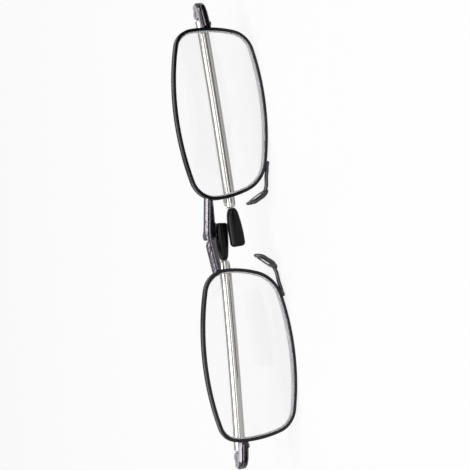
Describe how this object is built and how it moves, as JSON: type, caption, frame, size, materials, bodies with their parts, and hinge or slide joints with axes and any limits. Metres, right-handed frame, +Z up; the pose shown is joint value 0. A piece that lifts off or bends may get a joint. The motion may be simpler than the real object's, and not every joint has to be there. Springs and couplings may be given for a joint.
{
  "type": "folding reading glasses",
  "caption": "Pocket reading glasses with a folding bridge and telescopic metal temples, shown folded and pushed together, with nose pads on wire arms.",
  "frame": {"origin": "middle of the footprint, on the plane that the lower edges of the rims touch", "axes": "+X to the wearer's left, +Y back to the wearer's face, +Z up"},
  "size_m": [0.1368, 0.0112, 0.0292],
  "materials": {
    "rim_metal": "smooth dark gunmetal lacquer, satin",
    "gunmetal": "polished gunmetal plating with a slight purple cast",
    "tube_metal": "polished nickel silver",
    "collar_metal": "polished nickel silver",
    "screw_steel": "turned steel, plated in gunmetal",
    "sleeve_brass": "bare brass",
    "arm_metal": "polished gunmetal wire",
    "tip_plastic": "smooth black, half gloss",
    "pad_plastic": "clear soft plastic",
    "lens": "clear, with a thin surface coating"
  },
  "bodies": {
    "left_front": {"left_rim": "rim_metal", "left_lens": "lens", "left_closing_block": "gunmetal", "left_rim_screw": "screw_steel", "left_end_piece": "gunmetal", "left_hinge_screw": "screw_steel", "left_pad_arm": "arm_metal", "left_nose_pad": "pad_plastic", "left_bridge_half": "gunmetal", "bridge_screw": "screw_steel"},
    "right_front": {"right_rim": "rim_metal", "right_lens": "lens", "right_closing_block": "gunmetal", "right_rim_screw": "screw_steel", "right_end_piece": "gunmetal", "right_hinge_screw": "screw_steel", "right_pad_arm": "arm_metal", "right_nose_pad": "pad_plastic", "right_bridge_half": "gunmetal"},
    "left_temple": {"left_temple_leaf": "gunmetal", "left_temple_tube": "tube_metal", "left_tube_collar": "collar_metal"},
    "left_slider": {"left_slide_rod": "collar_metal", "left_spring_sleeve": "sleeve_brass", "left_temple_tip": "tip_plastic"},
    "right_temple": {"right_temple_leaf": "gunmetal", "right_temple_tube": "tube_metal", "right_tube_collar": "collar_metal"},
    "right_slider": {"right_slide_rod": "collar_metal", "right_spring_sleeve": "sleeve_brass", "right_temple_tip": "tip_plastic"}
  },
  "joints": [
    {"name": "bridge_fold", "type": "hinge", "parent": "left_front", "child": "right_front", "pos_m": [0, 0.00392, 0.01902], "axis": [0, 0, -1], "range_deg": [0, 180]},
    {"name": "left_temple_fold", "type": "hinge", "parent": "left_front", "child": "left_temple", "pos_m": [0.065, 0.00121, 0.01532], "axis": [0, 0, -1], "range_deg": [0, 92]},
    {"name": "right_temple_fold", "type": "hinge", "parent": "right_front", "child": "right_temple", "pos_m": [-0.065, 0.00121, 0.01892], "axis": [0, 0, 1], "range_deg": [0, 90]},
    {"name": "left_temple_slide", "type": "slide", "parent": "left_temple", "child": "left_slider", "axis": [-0.9989, 0, -0.0471], "range_m": [0, 0.043]},
    {"name": "right_temple_slide", "type": "slide", "parent": "right_temple", "child": "right_slider", "axis": [0.9971, 0.0453, -0.061], "range_m": [0, 0.043]}
  ]
}
